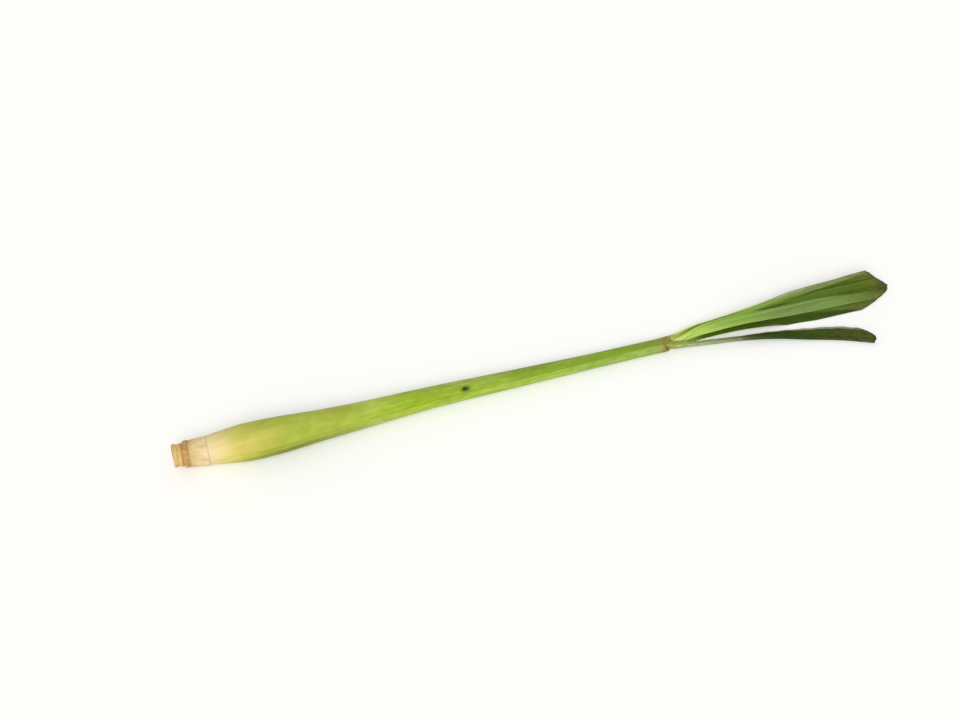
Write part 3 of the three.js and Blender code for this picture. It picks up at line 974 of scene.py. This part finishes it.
class LEMONGRASS_OT_sheath_stubs(bpy.types.Operator):
    """Build the torn stubs of the two oldest sheaths"""

    bl_idname = "lemongrass.sheath_stubs"
    bl_label = "Build Sheath Stubs"

    def execute(self, context):
        colours = context.scene.lemongrass_colours
        tan, cream = colours.sheath_tan, colours.bulb_cream
        # Dried outer sheath, torn round close to the root: fibrous and brown.
        lower = sheath_stub_form(5.4, 7.7, through((5.4, 6.3), (6.6, 6.6), (7.7, 6.4)), 60, 0.3, 21)
        stops = {5.4: "#CC9E60", 6.2: "#D2A466", 7.1: "#D6AA6A", 7.7: "#E2BC7E"}
        material = dry_tissue("Dried Sheath", stops, 20, "#8A5A28", "#EBC78A", 0.8, (160, 700, 700))
        made = grown_body("lower_stub", *leaf_rings(lower))
        finish_piece(made, material, "lower_sheath_stub")
        # The next sheath, trimmed and still moist: pale, with a painted highlight in a bright band near its
        # rim.
        rising = through((8.2, 6.5), (14.5, 7.1), (16.97, 7.17))
        upper = sheath_stub_form(8.2, 16.97, rising, 240, 0.04, 22)
        stops = {
            8.2: "#D9B776", 9.4: tan, 11.5: "#EFD496", 13.0: "#F5DA9F", 14.2: "#F8DDA6",
            15.0: "#F2D69E", 15.5: "#FCEABC", 16.1: "#F4DAA4",
        }
        material = dry_tissue("Pale Sheath", stops, 20, "#D8B67E", cream, 0.6, (120, 600, 600))
        made = grown_body("upper_stub", *leaf_rings(upper))
        finish_piece(made, material, "upper_sheath_stub")
        return {"FINISHED"}


class LEMONGRASS_OT_outer_leaf(bpy.types.Operator):
    """Build the outer leaf: sheath, collar and broad blade"""

    bl_idname = "lemongrass.outer_leaf"
    bl_label = "Build Outer Leaf"

    def execute(self, context):
        sizes, c = context.scene.lemongrass_sizes, context.scene.lemongrass_colours
        made = grown_body("broad_leaf", *leaf_rings(outer_leaf_form(sizes)))
        cream, yellow = c.bulb_cream, c.bulb_yellow
        flare, base, deep, pale = c.blade_flare, c.blade_base, c.blade_lying_shade, c.blade_pale
        bulb = {17: cream, 20: "#ECDA9C", 24: "#EDD990"}
        under_blade = {300: "#7C9340", 368: "#66793A"}
        # Just above the collar the blade's upper face is brightened as painted light, where its fold lies
        # in shade.
        unfolding = {252: flare, 264: base, 290: "#B8DC6C"}
        # Each lane round the stem carries its own colour from cream to green, with painted light and shade
        # between the lanes. This one is the lit face.
        sunny = {
            **bulb, 26.5: "#E0D87C", 30: "#D7CE69", 34: yellow, 40: "#C8C758", 47: "#C2C454",
            58: "#BCC650", 75: "#B5C24B", 90: c.stem_yellow_green, 103: "#B0C73A",
            116: "#9FBA26", 135: "#94B026", 150: "#9AB636", 162: "#9CB83C", 173: "#8DA928",
            184: "#90AC2A", 198: "#8DA92A", 212: c.stem_green, 228: "#86A322", 237: "#7F9A22",
            243: "#7C9030", 250: "#A9A84A", 255: flare, 264: base, **under_blade,
        }
        # Painted shade along the lower side of the stem.
        shaded = {
            17: cream, 24: "#DED279", 30: "#DAD269", 35: "#C6C44E", 42: "#B2B73C",
            55: "#A8B140", 75: "#AAB747", 90: "#B5C64E", 110: "#B1C840", 150: "#A2BE3E",
            187: "#A9C450", 212: "#98B64B", 236: "#9AB551", 244: "#98A64A", 250: "#A6A860",
            256: base, **under_blade,
        }
        # Deeper painted shade under the belly of the bulb, where it lies on the table.
        belly = {
            17: cream, 24: "#DED279", 30: "#C9C556", 35: "#B2B640", 40: "#98A224",
            48: "#86921A", 60: "#818F1C", 70: "#90A030", 82: "#A0AC4C", 98: "#B3C45F",
            112: "#ACC140", 150: "#ADC548", 190: "#A5C248", 208: "#99B64C", 222: "#A4BE55",
            232: "#A4BC5C", 240: "#9BB354", 246: "#A2A85C", 256: base, **under_blade,
        }
        # Painted light and shade along the top of the stem.
        crest_light_and_shade = {
            **bulb, 30: "#D7CE69", 34: yellow, 40: "#C8C758", 58: "#BCC650", 70: "#B4C04C",
            82: "#AAB83E", 98: "#B7CA55", 112: "#A2BC36", 130: "#9DB640", 150: "#A2B64E",
            160: "#A0B54E", 168: "#93A842", 178: "#8DA33C", 190: "#98AF47", 208: "#94AE3C",
            222: "#94AE40", 232: "#97AE3E", 240: "#8AA333", 250: "#A9A84A", 255: flare,
            264: base, **under_blade,
        }
        # Painted shade on the lying half of the broad blade: darkest at its edge, which curls down away
        # from the light.
        lying = {
            17: cream, 245: "#B9CB68", 253: flare, 259: "#BCD868", 263: "#84A42D",
            267: "#4C6410", 288: "#47550A", 305: deep, 325: "#354C04", 346: "#364A05",
            350: "#747A52", 355: "#82876A", 369: "#6A7040",
        }
        lying_middle = {
            263: "#84A42D", 267: "#4C6410", 305: deep, 318: "#3B5406", 325: "#425A0E",
            331: "#526A1C", 337: "#5E762C", 343: "#647B33", 349: "#667330", 362: "#6A7A3C",
        }
        # The gutter, brightened at the collar as painted light where the fold lies in shade, and darker
        # towards the tip.
        gutter = {
            17: cream, 245: "#C9D070", 252: "#F0F48C", 258: flare, 266: base, 280: "#9DBB58",
            300: "#86A04C", 320: "#64792A", 345: "#52670C", 368: "#66753A",
        }
        # Painted shade along the crease where the standing half of the broad blade rises over the young
        # blade.
        crease_shade_lane = {
            **unfolding, 299: "#A6C85C", 306: "#93B050", 315: "#718927", 325: "#5D7220",
            335: "#52670E", 347: "#52670C", 356: "#5E6E1E", 368: "#66753A",
        }
        edge = {
            **unfolding, 301: "#AACB60", 309: "#98B458", 317: "#8D9E58", 328: pale,
            345: "#83914C", 358: "#848F52", 368: "#7C8650",
        }
        rim = {
            **unfolding, 301: "#9EBC56", 308: "#A6B678", 313: "#B8C49A", 319: "#A6B182",
            328: pale, 368: "#7C8650",
        }
        look = {
            "drift": 0.008, "lanes": (322, 369, 0.57, (0.0, 0.0)),
            "patches": (0.84, 0.93, 0.75), "streaks": (0.88, 0.9, 0.78),
            "mottle": (0.84, 0.87, 0.66), "mottle_scale": (170, 8, 2),
            "veins": (0.9, 0.91, 0.84), "rough": 0.45,
            "dried": 0.9, "dried_depth": 3.6, "cut_colour": c.cut_brown,
            "paint": [
                (dried_edge, 0.9, 303, 352, "#858C62", 0.5),
                (dry_patches, 338, 354, "#62581E", 0.8),
                (collar_mark, c.collar_olive, c.collar_brown),
                (blemish, 2.9, 0.11, "#6E7F1C", 0.65),
                (blemish, 1.7, 0.062, "#2C4200", 0.97),
            ],
        }
        # Grass sheath and blade, grown and not worked: waxy, with a soft sheen along the stem.
        material = leaf_tissue(
            "Fresh Grass Leaf", OUTER_TIP, [
                (-1, 0, shaded), (-0.92, 0.03, belly), (0, 0.25, crest_light_and_shade), (0.57, 0.06, sunny),
                (0.84, 0.14, shaded),
            ],
            [
                (-1, 0, lying), (-0.64, 0.05, lying_middle), (-0.5, 0.1, gutter),
                (0.5, 0.08, crease_shade_lane), (0.64, 0.05, edge), (0.9, 0.05, rim),
            ],
            look,
        )
        finish_piece(made, material, "outer_leaf")
        # Ligule: a thin papery membrane, dried to an orange tan and torn along its free edge.
        stops = {COLLAR - 4: "#B9B060", COLLAR - 1: c.collar_brown, COLLAR + 2: "#C2A65E"}
        papery = dry_tissue(
            "Papery Ligule", stops, COLLAR + 4, "#A8853C", "#DCC684", 0.7, (300, 1200, 1200)
        )
        rim = grown_body("ligule", *ligule_rings())
        finish_piece(rim, papery, "outer_leaf")
        return {"FINISHED"}


class LEMONGRASS_OT_opposite_leaf(bpy.types.Operator):
    """Build the opposite leaf with its narrow folded blade"""

    bl_idname = "lemongrass.opposite_leaf"
    bl_label = "Build Opposite Leaf"

    def execute(self, context):
        sizes, c = context.scene.lemongrass_sizes, context.scene.lemongrass_colours
        made = grown_body("narrow_leaf", *leaf_rings(opposite_leaf_form(sizes)))
        sheath = {19: c.bulb_cream, 120: "#C5CE6A", 244: "#8E9434", 250: "#8C963A"}
        outer = {
            **sheath, 256: "#94A552", 262: c.folded_base, 270: "#95A070", 277: "#848E68",
            284: "#6C7450", 289: "#454E26", 296: "#32450A", 306: c.folded_green, 316: "#3F5211",
            326: "#3E5212", 338: "#444F16", 349: "#49541F",
        }
        rim = {
            **sheath, 262: c.folded_base, 277: "#848E68", 289: "#555E34", 299: "#566040",
            308: "#868C72", 316: "#A4A88E", 332: "#A0A28A", 342: "#82846C", 349: "#56583A",
        }
        midrib = {
            19: c.bulb_cream, 120: "#C5CE6A", 244: "#98A040", 250: "#A1A551", 256: "#A3AF66",
            262: "#A5B078", 270: "#9FA87B", 278: "#8F9870", 283: "#7E8762", 287: "#5A643C",
            291: "#404E22", 298: "#34460F", 308: "#304406", 318: "#2F4404", 330: "#354604",
            344: "#354303", 349: "#454F22",
        }
        inner = {19: c.bulb_cream, 244: "#B9CB68", 276: "#8FB055", 350: "#55782F"}
        look = {
            "drift": 0.01, "lanes": (250, 350, 1.0, (0.0, 0.0)),
            "patches": (0.9, 0.94, 0.86), "streaks": (0.78, 0.82, 0.6),
            "mottle": (0.5, 0.64, 0.42), "mottle_scale": (330, 9, 2),
            "veins": (0.84, 0.86, 0.8), "rough": 0.5,
            "dried": 0.9, "dried_depth": 3.4, "cut_colour": "#2E2A14",
            "paint": [
                (dried_edge, 0.8, 300, 344, "#615A38", 0.5), (dry_patches, 318, 345, "#5E5A1E", 0.5),
            ],
        }
        # A thinner grass blade, darker with age: duller, mottled, browned along its edges.
        material = leaf_tissue(
            "Old Grass Leaf", OPPOSITE_TIP, [(-1, 0, rim), (-0.87, 0.06, outer), (-0.2, 0.12, midrib)],
            [(-1, 0, inner)], look,
        )
        finish_piece(made, material, "opposite_leaf")
        return {"FINISHED"}


class LEMONGRASS_OT_inner_leaf(bpy.types.Operator):
    """Build the youngest leaf, with its blade in the gutter of the broad one"""

    bl_idname = "lemongrass.inner_leaf"
    bl_label = "Build Inner Leaf"

    def execute(self, context):
        sizes, c = context.scene.lemongrass_sizes, context.scene.lemongrass_colours
        made = grown_body("young_leaf", *leaf_rings(inner_leaf_form(sizes)))
        cream, flare, base, green = c.bulb_cream, c.blade_flare, c.blade_base, c.blade_green
        outer = {
            22: cream, 200: "#D5DA8A", 248: "#D9E27A", 252: flare, 257: "#CDE470",
            262: "#BFE06A", 280: "#A8C862", 362: "#7A9B4B",
        }
        # Brightened just above the collar as painted light, where the fold lies in shade.
        sheath = {22: cream, 245: "#CFD36B", 252: "#E4F088", 258: "#DDEE7E"}
        lying_edge = {
            **sheath, 264: "#CAE972", 270: "#C8E27C", 276: "#C2DF78", 284: "#BAD873",
            292: "#B1CE6B", 300: "#A2C068", 308: "#93B05C", 316: "#8DA85E", 324: "#89A458",
            340: "#86A156", 355: "#859D50", 366: "#728138",
        }
        lying_middle = {
            **sheath, 264: base, 270: "#BCD96D", 276: "#A6C35E", 284: "#98B957", 292: "#94B553",
            300: "#90AD59", 308: "#8AA558", 316: green, 324: "#8AA25B", 334: "#8CA65C",
            348: "#7E9B50", 366: "#6A7A30",
        }
        lying_bright = {
            264: base, 270: "#BEDC70", 276: "#B8DA72", 284: "#B0D568", 292: "#A4C85E",
            300: "#94B056", 308: "#8CA65B", 316: green, 334: "#859C54", 348: "#7C964E",
            357: "#718C3C", 362: "#606F28", 368: "#544A20",
        }
        # Painted shade along the midrib fold, darkest towards the tip.
        fold_shade = {
            264: base, 290: "#A8CC64", 297: "#94B448", 303: "#77923C", 310: "#698434",
            328: "#657F30", 338: "#5C7527", 343: "#4F670F", 349: "#425C03", 355: "#486406",
            360: "#50640F", 364: "#464E0C", 368: "#443A12",
        }
        # Its first stop is brightened as painted light at the collar, where the fold lies in shade.
        standing = {
            252: "#E4F088", 264: base, 276: "#B0D268", 290: "#A8CC64", 297: "#9CBC50",
            303: "#7F9A42", 310: "#6E8838", 318: "#66802F", 328: "#667F30", 338: c.blade_mid,
            343: "#5F7A27", 349: "#5D741C", 356: "#637B1E", 361: "#65762A", 364: "#5C6026",
            368: "#564A20",
        }
        look = {
            "drift": 0.008, "lanes": (296, 350, 1.0, (-0.56, 0.111)),
            "patches": (0.94, 0.96, 0.9), "streaks": (0.87, 0.9, 0.78),
            "mottle": (0.88, 0.91, 0.8), "mottle_scale": (200, 9, 2),
            "veins": (0.88, 0.9, 0.84), "rough": 0.42,
            "dried": 0.8, "dried_depth": 2.6, "cut_colour": c.cut_brown,
            "paint": [
                # Painted shadow: a dark line across the young blade's standing half, beside the standing
                # edge of the broad blade.
                (crease_shadow, 0.68, 0.3, 301, 310, "#3A5403", 0.92),
                # Pale wax specks, partly painted highlights.
                (bloom_and_glints, 0.5, "#C6D9A2"),
                (dry_patches, 344, 361, "#6A6024", 0.75),
            ],
        }
        # The youngest blade: the freshest green, with the clearest sheen.
        material = leaf_tissue(
            "Young Grass Leaf", INNER_TIP, [(-1, 0, outer)],
            [
                (-1, 0, lying_edge), (-1.0, 0.3, lying_middle), (-0.42, 0.12, lying_bright),
                (-0.07, 0.07, fold_shade), (0.26, 0.1, standing),
            ],
            look,
        )
        finish_piece(made, material, "inner_leaf")
        return {"FINISHED"}


class LEMONGRASS_OT_stage(bpy.types.Operator):
    """Build the pale floor, the soft lights and the camera"""

    bl_idname = "lemongrass.stage"
    bl_label = "Build Stage"

    def execute(self, context):
        scene = context.scene
        # Matt studio paper: one plain pale colour, which looks near white without lighting the stalk.
        material, tree = new_material("Studio Paper")
        seen = 0
        for ray in ("Is Camera Ray", "Is Glossy Ray", "Is Transmission Ray"):
            seen = add(tree, "Math", (seen, add(tree, "LightPath", out=ray)), operation="ADD")
        paper = add(
            tree, "BsdfPrincipled",
            {
                "Base Color": scene.lemongrass_colours.floor, "Roughness": 0.9, "Specular IOR Level": 0,
                "Emission Color": WHITE,
                "Emission Strength": add(tree, "Math", (seen, PAPER_GLOW), operation="MULTIPLY"),
            },
        )
        add(tree, "OutputMaterial", (paper,))
        reach, below = 3.0, -0.05 * MM
        mesh = bpy.data.meshes.new("studio_floor")
        signs = (-1, -1), (1, -1), (1, 1), (-1, 1)
        corners = [(x * reach, y * reach, below) for x, y in signs]
        mesh.from_pydata(corners, [], [(0, 1, 2, 3)])
        mesh.materials.append(material)
        floor = bpy.data.objects.new("studio_floor", mesh)
        scene.collection.objects.link(floor)

        world = bpy.data.worlds.new("Studio Light")
        world.use_nodes = True
        world.node_tree.nodes.clear()
        sky = add(world.node_tree, "Background", {"Color": WHITE, "Strength": SKY_STRENGTH})
        add(world.node_tree, "OutputWorld", (sky,))
        scene.world = world

        lamp = bpy.data.lights.new("Soft Key", "SUN")
        lamp.energy, lamp.angle = KEY_STRENGTH, KEY_ANGLE
        key = bpy.data.objects.new("Soft Key", lamp)
        key.rotation_euler = facing(*KEY_FROM).to_track_quat("Z", "Y").to_euler()
        scene.collection.objects.link(key)

        camera = bpy.data.cameras.new("Camera")
        camera.lens, camera.sensor_width = LENS, 36
        eye = bpy.data.objects.new("Camera", camera)
        back = facing(*SEEN_FROM)
        eye.location = LOOK_AT + back * EYE_DISTANCE
        eye.rotation_euler = back.to_track_quat("Z", "Y").to_euler()
        scene.collection.objects.link(eye)
        scene.camera = eye
        scene.view_settings.view_transform = "Standard"
        return {"FINISHED"}


def facing(azimuth, elevation):
    """The direction from the stalk to something at that azimuth and elevation, in degrees."""
    a, e = np.radians(azimuth), np.radians(elevation)
    return Vector((np.sin(a) * np.cos(e), -np.cos(a) * np.cos(e), np.sin(e)))


class LEMONGRASS_PT_build(bpy.types.Panel):
    """Builds the stalk piece by piece"""

    bl_label = "Lemongrass Stalk"
    bl_space_type = "VIEW_3D"
    bl_region_type = "UI"
    bl_category = "Lemongrass"

    def draw(self, context):
        for group in (context.scene.lemongrass_sizes, context.scene.lemongrass_colours):
            for name in group.__annotations__:
                self.layout.prop(group, name)
        for operator in OPERATORS:
            self.layout.operator(operator.bl_idname)


OPERATORS = (
    LEMONGRASS_OT_culm,
    LEMONGRASS_OT_sheath_stubs,
    LEMONGRASS_OT_outer_leaf,
    LEMONGRASS_OT_opposite_leaf,
    LEMONGRASS_OT_inner_leaf,
    LEMONGRASS_OT_stage,
)
CLASSES = (LemongrassSizes, LemongrassColours, *OPERATORS, LEMONGRASS_PT_build)


def register():
    for cls in CLASSES:
        bpy.utils.register_class(cls)
    bpy.types.Scene.lemongrass_sizes = PointerProperty(type=LemongrassSizes)
    bpy.types.Scene.lemongrass_colours = PointerProperty(type=LemongrassColours)


def unregister():
    del bpy.types.Scene.lemongrass_colours
    del bpy.types.Scene.lemongrass_sizes
    for cls in reversed(CLASSES):
        bpy.utils.unregister_class(cls)


def main():
    register()
    bpy.ops.lemongrass.culm()
    bpy.ops.lemongrass.sheath_stubs()
    bpy.ops.lemongrass.outer_leaf()
    bpy.ops.lemongrass.opposite_leaf()
    bpy.ops.lemongrass.inner_leaf()
    bpy.ops.lemongrass.stage()


if __name__ == "__main__":
    main()
